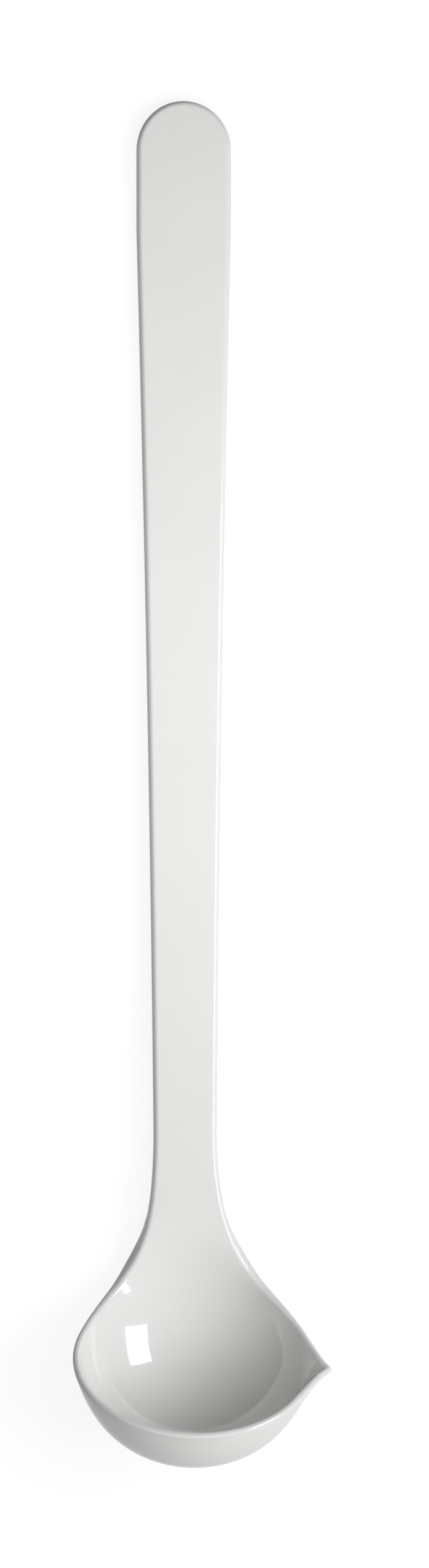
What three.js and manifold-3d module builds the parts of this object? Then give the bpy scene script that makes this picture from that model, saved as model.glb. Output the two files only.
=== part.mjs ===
import * as THREE from 'three';
import { mergeVertices } from 'three/addons/utils/BufferGeometryUtils.js';
import Module from 'manifold-3d';

// Plating spoon lying on its back. Millimetres, +Y along the handle to its end, +X to the pouring lip,
// +Z up from the table. While it is being shaped, x = 0 is the handle's centre line, y = 0 the bowl's
// centre and z = 0 the table.

// Bowl: part of a hollow ball, cut by a plane that leans back towards the handle, then made shallower.
const BALL_RADIUS = 27.9;
const BOWL_WALL = 2.4;
const RIM_WALL = 1.6;
const RIM_THINS = 0.5;
const SHALLOW = 0.76;
const RIM_BELOW_CENTRE = 5.76;
const RIM_LEAN = THREE.MathUtils.degToRad(55.3);
const BOWL_TO_LIP_SIDE = 0.93;

// Pouring lip: the rim pinched outwards into a V, with a narrow groove down its middle.
const LIP_HALF_ANGLE = THREE.MathUtils.degToRad(27.3);
const LIP_DIRECTION = THREE.MathUtils.degToRad(-7.5);
const LIP_CREASE = THREE.MathUtils.degToRad(1);
const LIP_STARTS = THREE.MathUtils.degToRad(68);
const LIP_FULL = THREE.MathUtils.degToRad(77);
const LIP_BEND = THREE.MathUtils.degToRad(2);
const LIP_GROOVE = 0.025;
const LIP_GROOVE_WIDTH = THREE.MathUtils.degToRad(3);

// Neck: the bowl's hollow runs on between the shoulders and rolls over on to the handle's face.
const NECK_LENGTH = 44.2;
const NECK_WIDTH = 13.9;
const SHOULDER_PULL_RIM = 10.3;
const SHOULDER_PULL_HANDLE = 33.0;
const SHOULDER_RISE = 20;
const SHOULDER_FADE = 5;
const BALL_USED = 0.985;
const ROLL_OVER = 5;
const ROLL_FULL = 14;
const SHOULDER_SETTLES = 16;
const WALL_GROWS_BY = 20;

// Handle: a flat bar that widens to a round end, sinks from the neck and ends flat on the table.
const HANDLE_TOP = 8;
const HANDLE_THICKNESS = 4;
const HANDLE_REACH = 271.7;
const END_WIDTH = 20.9;
const END_PARALLEL = 28.8;
const END_ROUND = 10.9;
const EDGE_RADIUS = 1.2;
const SINK_STARTS = 12;
const SETTLE = 30;

// Planes across the handle's axis where the three regions meet.
const BOWL_PLANE = 15;
const HANDLE_PLANE = NECK_LENGTH;

// Fineness of the skin.
const RINGS = 12;
const EDGE_STEPS = 3;
const NECK_STEPS = 18;
const HANDLE_STEPS = 32;
const END_STEPS = 16;
const REAR_STEPS = 8;
const FRONT_STEPS = 48;

const INNER_RADIUS = BALL_RADIUS - BOWL_WALL;
const CENTRE = new THREE.Vector3(BOWL_TO_LIP_SIDE, 0, BOWL_WALL + SHALLOW * INNER_RADIUS);
const OPENING = new THREE.Vector3(0, Math.sin(RIM_LEAN), Math.cos(RIM_LEAN));
const REARWARD = new THREE.Vector3(0, Math.cos(RIM_LEAN), -Math.sin(RIM_LEAN));
const UP = new THREE.Vector3(0, 0, 1);
const SQUASH = new THREE.Vector3(1, 1, SHALLOW);

const vec = (x, y, z) => new THREE.Vector3(x, y, z);
const ease = (u) => {
  const c = THREE.MathUtils.clamp(u, 0, 1);
  return c * c * c * (c * (c * 6 - 15) + 10);
};

// The rim where it passes the bowl's centre, and its direction there.
const rimBack = RIM_BELOW_CENTRE * Math.tan(RIM_LEAN);
const rimHalfWidth = Math.sqrt(INNER_RADIUS ** 2 - RIM_BELOW_CENTRE ** 2 - rimBack ** 2);
const rimNarrowing = -rimBack / (rimHalfWidth * Math.cos(RIM_LEAN));
const rimSpan = Math.acos(RIM_BELOW_CENTRE / (INNER_RADIUS * Math.cos(RIM_LEAN)));

// The shoulder's upper edge in plan is one cubic curve from the rim to the neck.
const rimPoint = new THREE.Vector2(rimHalfWidth, 0);
const neckEdge = new THREE.Vector2(NECK_WIDTH / 2 - EDGE_RADIUS, NECK_LENGTH);
const shoulder = new THREE.CubicBezierCurve(
  rimPoint,
  rimPoint.clone().addScaledVector(new THREE.Vector2(rimNarrowing, 1), SHOULDER_PULL_RIM),
  neckEdge.clone().sub(new THREE.Vector2(0, SHOULDER_PULL_HANDLE)),
  neckEdge,
);

// Height of the ball's inside; past BALL_USED of its radius it goes on straight.
const ballHeight = (x, y) => {
  const out = Math.hypot(x, y) / INNER_RADIUS;
  const near = Math.min(out, BALL_USED);
  const drop = Math.sqrt(1 - near * near);
  return CENTRE.z - SHALLOW * INNER_RADIUS * (drop - (out - near) * near / drop);
};

// 1 as far as start, then falling smoothly to 0 at the neck's end.
const ending = (y, start) => 1 - ease((y - start) / (NECK_LENGTH - start));
const sideShift = (y) => BOWL_TO_LIP_SIDE * ending(y, 0);

// A point of the neck's upper face: u from the bowl to the handle, k from the middle (0) to the edge (1).
const neckPoint = (u, k, side) => {
  const { x, y } = shoulder.getPoint(u);
  const share = Math.sin(k * rimSpan) / Math.sin(rimSpan);
  const saddle = HANDLE_TOP + SHOULDER_RISE * Math.exp(-y / SHOULDER_FADE) * ending(y, SHOULDER_SETTLES);
  const ball = ballHeight(x * share, y);
  const roll = ROLL_OVER * ease(y / ROLL_FULL) * ending(y, ROLL_FULL);
  const height = (ball + saddle - Math.hypot(ball - saddle, roll)) / 2;
  return vec(sideShift(y) + side * x * share, y, height);
};

const STEP = 1e-3;
const neckNormal = (u, k, side) => {
  const along = neckPoint(u + STEP, k, side).sub(neckPoint(u - STEP, k, side));
  const across = neckPoint(u, k + STEP, side).sub(neckPoint(u, k - STEP, side));
  return across.cross(along).multiplyScalar(side).normalize();
};

const neckOutward = (u, side) => {
  const along = neckPoint(u + STEP, 1, side).sub(neckPoint(u - STEP, 1, side));
  return along.cross(neckNormal(u, 1, side)).multiplyScalar(side).normalize();
};

const handleHalf = (y) => {
  const v = Math.min(1, (y - NECK_LENGTH) / (HANDLE_REACH - END_PARALLEL - NECK_LENGTH));
  return (NECK_WIDTH + (END_WIDTH - NECK_WIDTH) * 0.5 * (v + v * v)) / 2;
};

// Columns of the skin, in order around the spoon: the upper face from its middle to its edge, the normals
// there, the direction out over the edge and the thicknesses.
const fractions = Array.from({ length: RINGS + 1 }, (_, i) => i / RINGS);
const bowlThickness = (k) => BOWL_WALL + (RIM_WALL - BOWL_WALL) * ease((k - RIM_THINS) / (1 - RIM_THINS));

const neckColumn = (u, side) => {
  const grown = ease(shoulder.getPoint(u).y / WALL_GROWS_BY);
  return {
    face: fractions.map((k) => neckPoint(u, k, side)),
    normals: fractions.map((k) => neckNormal(u, k, side)),
    outward: neckOutward(u, side),
    thickness: fractions.map((k) => THREE.MathUtils.lerp(bowlThickness(k), HANDLE_THICKNESS, grown)),
  };
};

const handleColumn = (y, side) => {
  const half = handleHalf(y) - EDGE_RADIUS;
  return {
    face: fractions.map((k) => vec(side * k * half, y, HANDLE_TOP)),
    normals: fractions.map(() => UP),
    outward: vec(side, 0, 0),
    thickness: fractions.map(() => HANDLE_THICKNESS),
  };
};

const endColumn = (angle) => {
  const middle = HANDLE_REACH - END_ROUND;
  const a = END_WIDTH / 2 - EDGE_RADIUS;
  const b = END_ROUND - EDGE_RADIUS;
  const c = Math.cos(angle);
  const s = Math.sin(angle);
  return {
    face: fractions.map((k) => vec(k * a * c, middle + k * b * s, HANDLE_TOP)),
    normals: fractions.map(() => UP),
    outward: vec(c / a, s / b, 0).normalize(),
    thickness: fractions.map(() => HANDLE_THICKNESS),
  };
};

// The bowl itself: arcs of the ball that start along one inward normal, run across and stop at the
// rim plane.
const bowlColumn = (base, across) => {
  const reach = Math.acos(RIM_BELOW_CENTRE / (INNER_RADIUS * base.dot(OPENING)));
  const inward = fractions.map((k) => base.clone()
    .multiplyScalar(Math.cos(k * reach))
    .addScaledVector(across, -Math.sin(k * reach)));
  const normals = inward.map((n) => n.clone().divide(SQUASH).normalize());
  const last = normals[RINGS];
  const above = OPENING.clone().divide(SQUASH);
  return {
    face: inward.map((n) => n.clone().multiplyScalar(-INNER_RADIUS).multiply(SQUASH).add(CENTRE)),
    normals,
    outward: above.clone().addScaledVector(last, -above.dot(last)).normalize(),
    thickness: fractions.map(bowlThickness),
  };
};

// From the bowl's axis round its front, and from the axis back to the upright at the neck's start.
const frontColumn = (turn) => bowlColumn(
  OPENING,
  vec(Math.cos(turn), 0, 0).addScaledVector(REARWARD, Math.sin(turn)),
);
const rearColumn = (lean, side) => bowlColumn(vec(0, Math.sin(lean), Math.cos(lean)), vec(side, 0, 0));

// How far a place is past start, gathered gently over a length.
const gathered = (place, start, length) => {
  const gone = Math.max(0, place - start);
  return gone < length ? gone ** 2 / (2 * length) : gone - length / 2;
};

// Pinches the rim: a point near the lip moves out from the bowl's axis, on to the lines that touch the
// rim circle and meet at the tip.
const pinch = (p) => {
  const from = p.clone().sub(CENTRE).divide(SQUASH);
  const back = from.dot(REARWARD);
  const out = Math.hypot(from.x, back);
  const turn = Math.atan2(back, from.x) - LIP_DIRECTION;
  const away = Math.hypot(turn, LIP_CREASE);
  if (away >= LIP_HALF_ANGLE) return p;
  const climb = Math.atan2(out, -from.dot(OPENING));
  const risen = gathered(climb, LIP_STARTS, LIP_BEND) / (LIP_FULL - LIP_STARTS - LIP_BEND / 2);
  const groove = LIP_GROOVE * Math.exp(-((turn / LIP_GROOVE_WIDTH) ** 2));
  const stretch = (1 / Math.cos(LIP_HALF_ANGLE - away) - 1 + groove) * Math.min(1, risen);
  const move = vec(from.x * stretch, 0, 0).addScaledVector(REARWARD, back * stretch);
  return p.clone().add(move.multiply(SQUASH));
};

// Lets the handle down from the neck until the back of its end lies flat on the table.
const settles = HANDLE_REACH - END_PARALLEL - SETTLE;
const bend = NECK_LENGTH - SINK_STARTS;
const slopeLength = settles + SETTLE / 2 - SINK_STARTS - bend / 2;
const sink = (p) => {
  const gone = gathered(p.y, SINK_STARTS, bend) - gathered(p.y, settles, SETTLE);
  return vec(p.x, p.y, p.z - (HANDLE_TOP - HANDLE_THICKNESS) * gone / slopeLength);
};

// One column's points from the middle of the upper face, over the rounded edge, to the middle of the back.
const columnPoints = ({ face, normals, outward, thickness }) => {
  const points = [...face];
  const rim = face[RINGS];
  const normal = normals[RINGS];
  const radius = Math.min(EDGE_RADIUS, thickness[RINGS] / 2);
  const corner = (angle, depth) => rim.clone()
    .addScaledVector(outward, radius * Math.sin(angle))
    .addScaledVector(normal, -depth);
  for (let i = 1; i <= EDGE_STEPS; i += 1) {
    const angle = (i / EDGE_STEPS) * Math.PI / 2;
    points.push(corner(angle, radius * (1 - Math.cos(angle))));
  }
  for (let i = EDGE_STEPS; i >= 1; i -= 1) {
    const angle = (i / EDGE_STEPS) * Math.PI / 2;
    points.push(corner(angle, thickness[RINGS] - radius * (1 - Math.cos(angle))));
  }
  for (let i = RINGS; i >= 0; i -= 1) {
    points.push(face[i].clone().addScaledVector(normals[i], -thickness[i]));
  }
  return points.map((p) => sink(pinch(p)));
};

const handleY = (i) => THREE.MathUtils.lerp(NECK_LENGTH, HANDLE_REACH - END_ROUND, i / HANDLE_STEPS);
const columns = [];
for (let i = 0; i <= REAR_STEPS; i += 1) columns.push(rearColumn(RIM_LEAN * (1 - i / REAR_STEPS), 1));
for (let i = 1; i < NECK_STEPS; i += 1) columns.push(neckColumn(i / NECK_STEPS, 1));
for (let i = 0; i < HANDLE_STEPS; i += 1) columns.push(handleColumn(handleY(i), 1));
for (let i = 0; i <= END_STEPS; i += 1) columns.push(endColumn((i / END_STEPS) * Math.PI));
for (let i = HANDLE_STEPS - 1; i >= 0; i -= 1) columns.push(handleColumn(handleY(i), -1));
for (let i = NECK_STEPS - 1; i >= 1; i -= 1) columns.push(neckColumn(i / NECK_STEPS, -1));
for (let i = REAR_STEPS; i >= 0; i -= 1) columns.push(rearColumn(RIM_LEAN * (1 - i / REAR_STEPS), -1));
const frontTurn = (i) => -Math.PI * (i / FRONT_STEPS) ** 1.5;
for (let i = FRONT_STEPS - 1; i >= 1; i -= 1) columns.push(frontColumn(frontTurn(i)));

const skin = () => {
  const lines = columns.map(columnPoints);
  const rows = lines[0].length;
  const positions = lines.flatMap((line) => line.flatMap((p) => p.toArray()));
  const index = [];
  lines.forEach((_, i) => {
    const here = i * rows;
    const next = ((i + 1) % lines.length) * rows;
    for (let k = 0; k < rows - 1; k += 1) {
      index.push(here + k, here + k + 1, next + k + 1);
      index.push(here + k, next + k + 1, next + k);
    }
  });
  const geometry = new THREE.BufferGeometry();
  geometry.setAttribute('position', new THREE.Float32BufferAttribute(positions, 3));
  geometry.setIndex(index);
  return geometry;
};

const wasm = await Module();
wasm.setup();

const solidOf = (geometry) => {
  const bare = geometry.clone();
  bare.deleteAttribute('normal');
  bare.deleteAttribute('uv');
  const merged = mergeVertices(bare, 1e-4);
  const corners = merged.index.array;
  const kept = [];
  for (let i = 0; i < corners.length; i += 3) {
    const [a, b, c] = [corners[i], corners[i + 1], corners[i + 2]];
    if (a !== b && b !== c && c !== a) kept.push(a, b, c);
  }
  return new wasm.Manifold(new wasm.Mesh({
    numProp: 3,
    vertProperties: new Float32Array(merged.attributes.position.array),
    triVerts: new Uint32Array(kept),
  }));
};

const geometryOf = (solid) => {
  const mesh = solid.getMesh();
  const geometry = new THREE.BufferGeometry();
  geometry.setAttribute('position', new THREE.BufferAttribute(new Float32Array(mesh.vertProperties), 3));
  geometry.setIndex(new THREE.BufferAttribute(new Uint32Array(mesh.triVerts), 1));
  geometry.computeVertexNormals();
  return geometry;
};

// The part of the spoon between two planes across the handle's axis.
const ROOM = 2 * HANDLE_REACH;
const between = (solid, low, high) => {
  const block = new THREE.BoxGeometry(ROOM, high - low, ROOM);
  block.translate(0, (low + high) / 2, 0);
  return geometryOf(solid.intersect(solidOf(block)));
};

const whole = skin();
whole.computeBoundingBox();
const box = whole.boundingBox;
const spoonSolid = solidOf(whole);

const regions = {
  bowl: between(spoonSolid, -ROOM, BOWL_PLANE),
  neck: between(spoonSolid, BOWL_PLANE, HANDLE_PLANE),
  handle: between(spoonSolid, HANDLE_PLANE, ROOM),
};

const spoon = new THREE.Group();
spoon.name = 'plating_spoon';
Object.entries(regions).forEach(([name, geometry]) => {
  geometry.translate(-(box.min.x + box.max.x) / 2, -(box.min.y + box.max.y) / 2, -box.min.z);
  const material = new THREE.MeshStandardMaterial({ color: 0xf2f2ef, roughness: 0.16, metalness: 0 });
  const mesh = new THREE.Mesh(geometry, material);
  mesh.name = name;
  spoon.add(mesh);
});

export default spoon;
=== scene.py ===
"""Plating spoon in white melamine, lying on its back on a pale table. Metres, in the row frame."""

import math

import bpy
import numpy as np
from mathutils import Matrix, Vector


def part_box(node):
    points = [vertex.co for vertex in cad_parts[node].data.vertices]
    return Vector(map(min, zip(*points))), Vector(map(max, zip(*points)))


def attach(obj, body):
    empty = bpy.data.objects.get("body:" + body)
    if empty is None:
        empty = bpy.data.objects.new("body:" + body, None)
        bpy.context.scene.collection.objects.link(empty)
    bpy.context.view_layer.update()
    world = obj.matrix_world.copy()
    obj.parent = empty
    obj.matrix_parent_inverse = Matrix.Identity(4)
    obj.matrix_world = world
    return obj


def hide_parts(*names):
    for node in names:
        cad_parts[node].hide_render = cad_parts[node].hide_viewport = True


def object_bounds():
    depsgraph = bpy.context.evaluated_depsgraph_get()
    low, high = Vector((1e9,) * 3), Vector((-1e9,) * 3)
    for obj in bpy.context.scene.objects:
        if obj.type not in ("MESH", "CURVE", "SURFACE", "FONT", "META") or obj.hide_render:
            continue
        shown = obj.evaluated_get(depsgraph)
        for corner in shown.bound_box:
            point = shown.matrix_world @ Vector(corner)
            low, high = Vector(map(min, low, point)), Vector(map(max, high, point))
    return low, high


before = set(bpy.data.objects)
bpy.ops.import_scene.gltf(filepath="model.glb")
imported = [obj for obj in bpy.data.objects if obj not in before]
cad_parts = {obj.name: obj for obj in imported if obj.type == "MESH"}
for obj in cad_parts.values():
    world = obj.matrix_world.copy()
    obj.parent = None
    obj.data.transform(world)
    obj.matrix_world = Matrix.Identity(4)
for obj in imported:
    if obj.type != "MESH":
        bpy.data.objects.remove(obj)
cad_low, cad_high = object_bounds()

MM = 0.001

# Bowl: part of a hollow ball, cut by a plane that leans back towards the handle, then made shallower
# (millimetres, degrees).
BALL_RADIUS = 27.9
BOWL_WALL = 2.4
RIM_WALL = 1.6
RIM_THINS = 0.5
SHALLOW = 0.76
RIM_BELOW_CENTRE = 5.76
RIM_LEAN = math.radians(55.3)
BOWL_TO_LIP_SIDE = 0.93

# Pouring lip: the rim pinched outwards into a V.
LIP_HALF_ANGLE = math.radians(27.3)
LIP_DIRECTION = math.radians(-7.5)
LIP_CREASE = math.radians(1)
LIP_STARTS = math.radians(68)
LIP_FULL = math.radians(77)
LIP_BEND = math.radians(2)
LIP_GROOVE = 0.025
LIP_GROOVE_WIDTH = math.radians(3)

# Neck: the bowl's hollow runs on between the shoulders and rolls over on to the handle's face.
NECK_LENGTH = 44.2
NECK_WIDTH = 13.9
SHOULDER_PULL_RIM = 10.3
SHOULDER_PULL_HANDLE = 33.0
SHOULDER_RISE = 20
SHOULDER_FADE = 5
BALL_USED = 0.985
ROLL_OVER = 5
ROLL_FULL = 14
SHOULDER_SETTLES = 16
WALL_GROWS_BY = 20

# Handle: a flat bar that widens to a round end, sinks from the neck and ends flat on the table.
HANDLE_TOP = 8
HANDLE_THICKNESS = 4
HANDLE_REACH = 271.7
END_WIDTH = 20.9
END_PARALLEL = 28.8
END_ROUND = 10.9
EDGE_RADIUS = 1.2
SINK_STARTS = 12
SETTLE = 30

# Fineness of the skin.
RINGS = 32
EDGE_STEPS = 8
NECK_STEPS = 60
HANDLE_STEPS = 48
END_STEPS = 64
REAR_STEPS = 24
FRONT_STEPS = 180
FRONT_CROWDING = 1.5
STEP = 1e-3
SAME_POINT_DIGITS = 4

INNER_RADIUS = BALL_RADIUS - BOWL_WALL
CENTRE = np.array([BOWL_TO_LIP_SIDE, 0, BOWL_WALL + SHALLOW * INNER_RADIUS])
RIGHT = np.array([1.0, 0, 0])
UP = np.array([0, 0, 1.0])
OPENING = np.array([0, math.sin(RIM_LEAN), math.cos(RIM_LEAN)])
REARWARD = np.array([0, math.cos(RIM_LEAN), -math.sin(RIM_LEAN)])
FRACTIONS = np.linspace(0, 1, RINGS + 1)
SQUASH = np.array([1, 1, SHALLOW])


def ease(u):
    c = np.clip(u, 0, 1)
    return c * c * c * (c * (c * 6 - 15) + 10)


def unit(v):
    return v / np.linalg.norm(v, axis=-1, keepdims=True)


BOWL_THICKNESS = BOWL_WALL + (RIM_WALL - BOWL_WALL) * ease((FRACTIONS - RIM_THINS) / (1 - RIM_THINS))
BAR_THICKNESS = np.full(RINGS + 1, HANDLE_THICKNESS)

# The rim where it passes the bowl's centre, and its direction there.
rim_back = RIM_BELOW_CENTRE * math.tan(RIM_LEAN)
rim_half_width = math.sqrt(INNER_RADIUS**2 - RIM_BELOW_CENTRE**2 - rim_back**2)
rim_narrowing = -rim_back / (rim_half_width * math.cos(RIM_LEAN))
rim_span = math.acos(RIM_BELOW_CENTRE / (INNER_RADIUS * math.cos(RIM_LEAN)))

rim_point = np.array([rim_half_width, 0])
neck_edge = np.array([NECK_WIDTH / 2 - EDGE_RADIUS, NECK_LENGTH])
rim_pull = rim_point + SHOULDER_PULL_RIM * np.array([rim_narrowing, 1])
neck_pull = neck_edge - np.array([0, SHOULDER_PULL_HANDLE])


def shoulder_edge(u):
    """The shoulder's upper edge in plan: a cubic curve from the rim to the handle."""
    w = 1 - u
    return w**3 * rim_point + 3 * w * w * u * rim_pull + 3 * w * u * u * neck_pull + u**3 * neck_edge


def ball_height(x, y):
    """Height of the ball's inside; past BALL_USED of its radius it goes on straight."""
    out = np.hypot(x, y) / INNER_RADIUS
    near = np.minimum(out, BALL_USED)
    drop = np.sqrt(1 - near * near)
    return CENTRE[2] - SHALLOW * INNER_RADIUS * (drop - (out - near) * near / drop)


def ending(y, start):
    """1 as far as start, then falling smoothly to 0 at the neck's end."""
    return 1 - ease((y - start) / (NECK_LENGTH - start))


def neck_points(u, k, side):
    """The neck's upper face: u from the bowl to the handle, k from the middle (0) to the edge (1)."""
    x, y = shoulder_edge(u)
    share = np.sin(k * rim_span) / math.sin(rim_span)
    shift = BOWL_TO_LIP_SIDE * ending(y, 0)
    saddle = HANDLE_TOP + SHOULDER_RISE * math.exp(-y / SHOULDER_FADE) * ending(y, SHOULDER_SETTLES)
    ball = ball_height(x * share, y)
    roll = ROLL_OVER * ease(y / ROLL_FULL) * ending(y, ROLL_FULL)
    height = (ball + saddle - np.sqrt((ball - saddle) ** 2 + roll**2)) / 2
    return np.stack([shift + side * x * share, np.full_like(k, y), height], -1)


def column(face, normals, outward, thickness):
    """One column of the skin: middle of the upper face, over the rounded edge, to the middle of the back."""
    radius = min(EDGE_RADIUS, thickness[-1] / 2)
    turn = np.linspace(0, math.pi / 2, EDGE_STEPS + 1)[1:, None]
    over = face[-1] + radius * np.sin(turn) * outward
    fall = radius * (1 - np.cos(turn))
    upper = over - fall * normals[-1]
    lower = over - (thickness[-1] - fall) * normals[-1]
    back = face - thickness[:, None] * normals
    return np.concatenate([face, upper, lower[::-1], back[::-1]])


def neck_column(u, side):
    k = FRACTIONS
    along = neck_points(u + STEP, k, side) - neck_points(u - STEP, k, side)
    across = neck_points(u, k + STEP, side) - neck_points(u, k - STEP, side)
    normals = unit(side * np.cross(across, along))
    outward = unit(side * np.cross(along[-1], normals[-1]))
    face = neck_points(u, k, side)
    grown = ease(face[0, 1] / WALL_GROWS_BY)
    return column(face, normals, outward, BOWL_THICKNESS + (HANDLE_THICKNESS - BOWL_THICKNESS) * grown)


def handle_column(y, side):
    v = min(1, (y - NECK_LENGTH) / (HANDLE_REACH - END_PARALLEL - NECK_LENGTH))
    half = (NECK_WIDTH + (END_WIDTH - NECK_WIDTH) * 0.5 * (v + v * v)) / 2 - EDGE_RADIUS
    level = np.array([0, y, HANDLE_TOP])
    face = level + FRACTIONS[:, None] * side * half * RIGHT
    return column(face, np.tile(UP, (RINGS + 1, 1)), side * RIGHT, BAR_THICKNESS)


def end_column(angle):
    a = END_WIDTH / 2 - EDGE_RADIUS
    b = END_ROUND - EDGE_RADIUS
    c, s = math.cos(angle), math.sin(angle)
    level = np.array([0, HANDLE_REACH - END_ROUND, HANDLE_TOP])
    face = level + FRACTIONS[:, None] * np.array([a * c, b * s, 0])
    return column(face, np.tile(UP, (RINGS + 1, 1)), unit(np.array([c / a, s / b, 0])), BAR_THICKNESS)


def bowl_column(base, across):
    """Arc of the ball that starts along one inward normal, runs across and stops at the rim plane."""
    reach = math.acos(RIM_BELOW_CENTRE / (INNER_RADIUS * base.dot(OPENING)))
    turn = (FRACTIONS * reach)[:, None]
    inward = base * np.cos(turn) - across * np.sin(turn)
    normals = unit(inward / SQUASH)
    above = OPENING / SQUASH
    outward = unit(above - above.dot(normals[-1]) * normals[-1])
    return column(CENTRE - INNER_RADIUS * inward * SQUASH, normals, outward, BOWL_THICKNESS)


def rear_column(lean, side):
    return bowl_column(np.array([0, math.sin(lean), math.cos(lean)]), side * RIGHT)


def front_column(turn):
    return bowl_column(OPENING, math.cos(turn) * RIGHT + math.sin(turn) * REARWARD)


def gathered(place, start, length):
    """How far place is past start, gathered gently over a length."""
    gone = np.clip(place - start, 0, None)
    return np.where(gone < length, gone**2 / (2 * length), gone - length / 2)


def pinch(points):
    """Moves the points near the lip out from the bowl's axis, on to two lines that meet at the tip."""
    away_from = (points - CENTRE) / SQUASH
    back = away_from @ REARWARD
    side = away_from[:, 0]
    turn = np.arctan2(back, side) - LIP_DIRECTION
    away = np.hypot(turn, LIP_CREASE)
    climb = np.arctan2(np.hypot(side, back), -(away_from @ OPENING))
    amount = np.minimum(gathered(climb, LIP_STARTS, LIP_BEND) / (LIP_FULL - LIP_STARTS - LIP_BEND / 2), 1)
    groove = LIP_GROOVE * np.exp(-((turn / LIP_GROOVE_WIDTH) ** 2))
    stretch = (1 / np.cos(np.maximum(LIP_HALF_ANGLE - away, 0)) - 1 + groove) * amount
    return points + ((back * stretch)[:, None] * REARWARD + (side * stretch)[:, None] * RIGHT) * SQUASH


def sink(points):
    """Lets the handle down from the neck until the back of its end lies flat on the table."""
    settles = HANDLE_REACH - END_PARALLEL - SETTLE
    bend = NECK_LENGTH - SINK_STARTS
    whole = settles + SETTLE / 2 - SINK_STARTS - bend / 2
    gone = gathered(points[:, 1], SINK_STARTS, bend) - gathered(points[:, 1], settles, SETTLE)
    sunk = points.copy()
    sunk[:, 2] -= (HANDLE_TOP - HANDLE_THICKNESS) * gone / whole
    return sunk


def spoon_skin():
    """Corner points and faces of the closed skin, around the spoon column by column."""
    leans = RIM_LEAN * (1 - np.arange(REAR_STEPS + 1) / REAR_STEPS)
    alongs = np.arange(1, NECK_STEPS) / NECK_STEPS
    levels = np.linspace(NECK_LENGTH, HANDLE_REACH - END_ROUND, HANDLE_STEPS + 1)[:-1]
    turns = [-math.pi * (i / FRONT_STEPS) ** FRONT_CROWDING for i in range(1, FRONT_STEPS)]
    columns = [rear_column(lean, 1) for lean in leans]
    columns += [neck_column(u, 1) for u in alongs]
    columns += [handle_column(y, 1) for y in levels]
    columns += [end_column(angle) for angle in np.linspace(0, math.pi, END_STEPS + 1)]
    columns += [handle_column(y, -1) for y in levels[::-1]]
    columns += [neck_column(u, -1) for u in alongs[::-1]]
    columns += [rear_column(lean, -1) for lean in leans[::-1]]
    columns += [front_column(turn) for turn in turns[::-1]]
    rows = len(columns[0])
    points = sink(pinch(np.concatenate(columns)))
    places = np.round(points, SAME_POINT_DIGITS)
    _, first, same = np.unique(places, axis=0, return_index=True, return_inverse=True)
    same = same.reshape(-1)
    faces = []
    for i in range(len(columns)):
        here, beyond = i * rows, ((i + 1) % len(columns)) * rows
        for k in range(rows - 1):
            corners = [here + k, here + k + 1, beyond + k + 1, beyond + k]
            face = list(dict.fromkeys(int(same[c]) for c in corners))
            if len(face) > 2:
                faces.append(face)
    return points[first], faces


# Melamine: a faint cloudy tone, streaks along the handle in its gloss, gloss weakened at grazing angles as
# painted shade on the outlines, and two scales of bump.
MELAMINE_IOR = 1.65
TONE_DARK = (0.795, 0.795, 0.782, 1)
TONE_LIGHT = (0.815, 0.813, 0.803, 1)
CLOUD_SCALE = 38
STREAK_SCALE = 520
STREAK_STRETCH = (1, 0.06, 1)
ROUGHNESS_LOW = (0.04, 0.04, 0.04, 1)
ROUGHNESS_HIGH = (0.075, 0.075, 0.075, 1)
# Gloss level face-on and at grazing angles: the low grazing level is painted shade that darkens the outlines.
PAINTED_EDGE_SHADE_FACING = (0.5, 0.5, 0.5, 1)
PAINTED_EDGE_SHADE_GRAZING = (0.12, 0.12, 0.12, 1)
GRAZING_BLEND = 0.35
GRAIN_SCALE = 700
GRAIN_STRENGTH = 0.05
GRAIN_DEPTH = 0.0002
FLOW_SCALE = 60
FLOW_STRENGTH = 0.08
FLOW_DEPTH = 0.001

# Table: its own pale cloth, and the white that the camera and reflections see.
CLOTH = (0.14, 0.14, 0.14, 1)
SEEN_WHITE = (0.89, 0.89, 0.89, 1)
WHITE = (1, 1, 1, 1)

# Studio: direction and level of each broad lobe of light.
STUDIO = (
    ((0, -0.8, 0.6), 0.80),
    ((0, 0, 1), 0.02),
)


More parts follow.
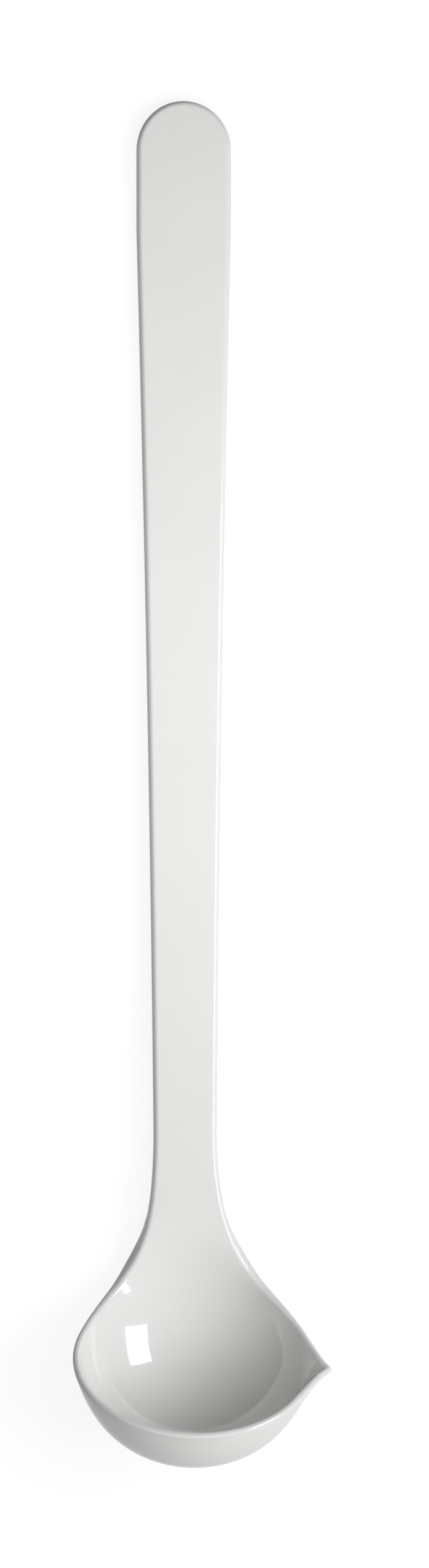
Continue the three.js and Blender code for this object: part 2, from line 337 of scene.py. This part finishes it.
def spoon_material():
    material = bpy.data.materials.new("white_melamine")
    material.use_nodes = True
    nodes, links = material.node_tree.nodes, material.node_tree.links
    shader = nodes["Principled BSDF"]
    shader.inputs["IOR"].default_value = MELAMINE_IOR
    place = nodes.new("ShaderNodeTexCoord")
    grazing = nodes.new("ShaderNodeLayerWeight")
    grazing.inputs["Blend"].default_value = GRAZING_BLEND

    def noise(scale, detail, stretch=(1, 1, 1)):
        mapping = nodes.new("ShaderNodeMapping")
        mapping.inputs["Scale"].default_value = stretch
        links.new(place.outputs["Object"], mapping.inputs["Vector"])
        texture = nodes.new("ShaderNodeTexNoise")
        texture.inputs["Scale"].default_value = scale
        texture.inputs["Detail"].default_value = detail
        links.new(mapping.outputs["Vector"], texture.inputs["Vector"])
        return texture.outputs["Fac"]

    def ramp(fac, low, high, start, stop):
        node = nodes.new("ShaderNodeValToRGB")
        node.color_ramp.elements[0].position = start
        node.color_ramp.elements[0].color = low
        node.color_ramp.elements[1].position = stop
        node.color_ramp.elements[1].color = high
        links.new(fac, node.inputs["Fac"])
        return node.outputs["Color"]

    tone = ramp(noise(CLOUD_SCALE, 3), TONE_DARK, TONE_LIGHT, 0.3, 0.7)
    links.new(tone, shader.inputs["Base Color"])

    streaks = noise(STREAK_SCALE, 2, STREAK_STRETCH)
    links.new(ramp(streaks, ROUGHNESS_LOW, ROUGHNESS_HIGH, 0.35, 0.75), shader.inputs["Roughness"])

    # Painted shade: the gloss falls away towards grazing angles, so the silhouettes render darker.
    painted_edge_shade = ramp(grazing.outputs["Facing"], PAINTED_EDGE_SHADE_FACING, PAINTED_EDGE_SHADE_GRAZING, 0.35, 0.8)
    links.new(painted_edge_shade, shader.inputs["Specular IOR Level"])

    grain = nodes.new("ShaderNodeBump")
    grain.inputs["Strength"].default_value = GRAIN_STRENGTH
    grain.inputs["Distance"].default_value = GRAIN_DEPTH
    links.new(noise(GRAIN_SCALE, 2), grain.inputs["Height"])
    flow = nodes.new("ShaderNodeBump")
    flow.inputs["Strength"].default_value = FLOW_STRENGTH
    flow.inputs["Distance"].default_value = FLOW_DEPTH
    links.new(noise(FLOW_SCALE, 1), flow.inputs["Height"])
    links.new(grain.outputs["Normal"], flow.inputs["Normal"])
    links.new(flow.outputs["Normal"], shader.inputs["Normal"])
    return material


def floor_material():
    """Pale table: white to the camera and in reflections, with the object's shadow left on it."""
    material = bpy.data.materials.new("pale_table")
    material.use_nodes = True
    nodes, links = material.node_tree.nodes, material.node_tree.links
    nodes.remove(nodes["Principled BSDF"])
    path = nodes.new("ShaderNodeLightPath")
    seen = nodes.new("ShaderNodeMath")
    seen.operation = "MAXIMUM"
    links.new(path.outputs["Is Camera Ray"], seen.inputs[0])
    links.new(path.outputs["Is Glossy Ray"], seen.inputs[1])
    shown = nodes.new("ShaderNodeMath")
    shown.operation = "MAXIMUM"
    links.new(seen.outputs[0], shown.inputs[0])
    links.new(path.outputs["Is Transmission Ray"], shown.inputs[1])
    cloth = nodes.new("ShaderNodeBsdfDiffuse")
    cloth.inputs["Color"].default_value = CLOTH
    glow = nodes.new("ShaderNodeEmission")
    glow.inputs["Color"].default_value = SEEN_WHITE
    links.new(shown.outputs[0], glow.inputs["Strength"])
    both = nodes.new("ShaderNodeAddShader")
    links.new(cloth.outputs[0], both.inputs[0])
    links.new(glow.outputs[0], both.inputs[1])
    links.new(both.outputs[0], nodes["Material Output"].inputs["Surface"])
    return material


def lit_world():
    """Soft studio: broad lobes of light from a few directions, plain white where the camera sees it."""
    world = bpy.data.worlds.new("studio")
    bpy.context.scene.world = world
    world.use_nodes = True
    nodes, links = world.node_tree.nodes, world.node_tree.links
    light = nodes["Background"]
    place = nodes.new("ShaderNodeTexCoord")
    total = None
    for direction, level in STUDIO:
        facing = nodes.new("ShaderNodeVectorMath")
        facing.operation = "DOT_PRODUCT"
        facing.inputs[1].default_value = direction
        links.new(place.outputs["Generated"], facing.inputs[0])
        ahead = nodes.new("ShaderNodeMath")
        ahead.operation = "MAXIMUM"
        ahead.inputs[1].default_value = 0
        links.new(facing.outputs["Value"], ahead.inputs[0])
        lobe = nodes.new("ShaderNodeMath")
        lobe.operation = "MULTIPLY"
        links.new(ahead.outputs[0], lobe.inputs[0])
        links.new(ahead.outputs[0], lobe.inputs[1])
        added = nodes.new("ShaderNodeMath")
        added.operation = "MULTIPLY_ADD"
        added.inputs[1].default_value = level
        added.inputs[2].default_value = 0
        links.new(lobe.outputs[0], added.inputs[0])
        if total:
            links.new(total, added.inputs[2])
        total = added.outputs[0]
    links.new(total, light.inputs["Strength"])
    light.inputs["Color"].default_value = WHITE
    white = nodes.new("ShaderNodeBackground")
    white.inputs["Color"].default_value = WHITE
    path = nodes.new("ShaderNodeLightPath")
    mix = nodes.new("ShaderNodeMixShader")
    links.new(path.outputs["Is Camera Ray"], mix.inputs["Fac"])
    links.new(light.outputs[0], mix.inputs[1])
    links.new(white.outputs[0], mix.inputs[2])
    links.new(mix.outputs[0], nodes["World Output"].inputs["Surface"])


def aim(location, target):
    return (Vector(target) - Vector(location)).to_track_quat("-Z", "Y").to_euler()


def area_lamp(name, location, target, width, height, watts):
    data = bpy.data.lights.new(name, "AREA")
    data.shape = "RECTANGLE"
    data.size = width
    data.size_y = height
    data.energy = watts
    lamp = bpy.data.objects.new(name, data)
    lamp.location = location
    lamp.rotation_euler = aim(location, target)
    bpy.context.scene.collection.objects.link(lamp)
    return lamp


# The skin is placed by the CAD handle: its centre line in x and its end in y.
handle_low, handle_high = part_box("handle")
origin = Vector(((handle_low.x + handle_high.x) / 2, handle_high.y - HANDLE_REACH * MM, cad_low.z))

points, faces = spoon_skin()
mesh = bpy.data.meshes.new("spoon")
mesh.from_pydata((points * MM + np.array(origin)).tolist(), [], faces)
mesh.polygons.foreach_set("use_smooth", [True] * len(mesh.polygons))
mesh.materials.append(spoon_material())
spoon = bpy.data.objects.new("spoon", mesh)
bpy.context.scene.collection.objects.link(spoon)
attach(spoon, "root")
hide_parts("bowl", "neck", "handle")

# Table under the spoon.
TABLE_HALF = 4.0
TABLE_GAP = 0.00005
table_mesh = bpy.data.meshes.new("table")
corners = [(-1, -1), (1, -1), (1, 1), (-1, 1)]
table_mesh.from_pydata([(x * TABLE_HALF, y * TABLE_HALF, -TABLE_GAP) for x, y in corners], [], [(0, 1, 2, 3)])
table_mesh.materials.append(floor_material())
table = bpy.data.objects.new("table", table_mesh)
bpy.context.scene.collection.objects.link(table)

# Light: the studio's lobes, a window that only glints, and three soft lamps that only light.
lit_world()
bowl_at = origin + Vector(CENTRE) * MM


def towards(rise, turn):
    """Direction that rises from the table and turns from +X."""
    rise, turn = math.radians(rise), math.radians(turn)
    return Vector((math.cos(rise) * math.cos(turn), math.cos(rise) * math.sin(turn), math.sin(rise)))


LAMP_AWAY = 0.8
SOFT_SIZE = 0.5
NEAR_PLACE = Vector((0.02, 0.025, 0.185))
NEAR_TARGET = Vector((0, 0.025, 0))
window = area_lamp("window", bowl_at + towards(43.5, 5) * LAMP_AWAY, bowl_at, 0.39, 0.30, 2.3)
window.visible_diffuse = False
soft_lamps = (
    area_lamp("key", bowl_at + towards(43.5, 1) * LAMP_AWAY, bowl_at, SOFT_SIZE, SOFT_SIZE, 4.15),
    area_lamp("high", bowl_at + towards(68, 0) * LAMP_AWAY, bowl_at, SOFT_SIZE, SOFT_SIZE, 1.0),
    area_lamp("near", NEAR_PLACE, NEAR_TARGET, 0.1, 0.12, 0.122),
)
for lamp in soft_lamps:
    lamp.visible_glossy = False

# Camera: straight above, leaning a little to the left.
CAMERA_AWAY = 1.14
CAMERA_LEAN = math.radians(4.86)
VIEW_CENTRE = Vector((6.69, 120.7, 4.0))
VIEW_LENGTH = 0.3465
SENSOR = 36
CLIP_NEAR = 0.05
CLIP_FAR = 20
camera_data = bpy.data.cameras.new("camera")
camera_data.sensor_width = SENSOR
camera_data.lens = SENSOR * CAMERA_AWAY / VIEW_LENGTH
camera_data.clip_start = CLIP_NEAR
camera_data.clip_end = CLIP_FAR
camera = bpy.data.objects.new("camera", camera_data)
camera_side = Vector((-math.sin(CAMERA_LEAN), 0, math.cos(CAMERA_LEAN)))
camera.location = origin + VIEW_CENTRE * MM + camera_side * CAMERA_AWAY
camera.rotation_euler = (0, -CAMERA_LEAN, 0)
bpy.context.scene.collection.objects.link(camera)
bpy.context.scene.camera = camera
bpy.context.scene.view_settings.view_transform = "Standard"
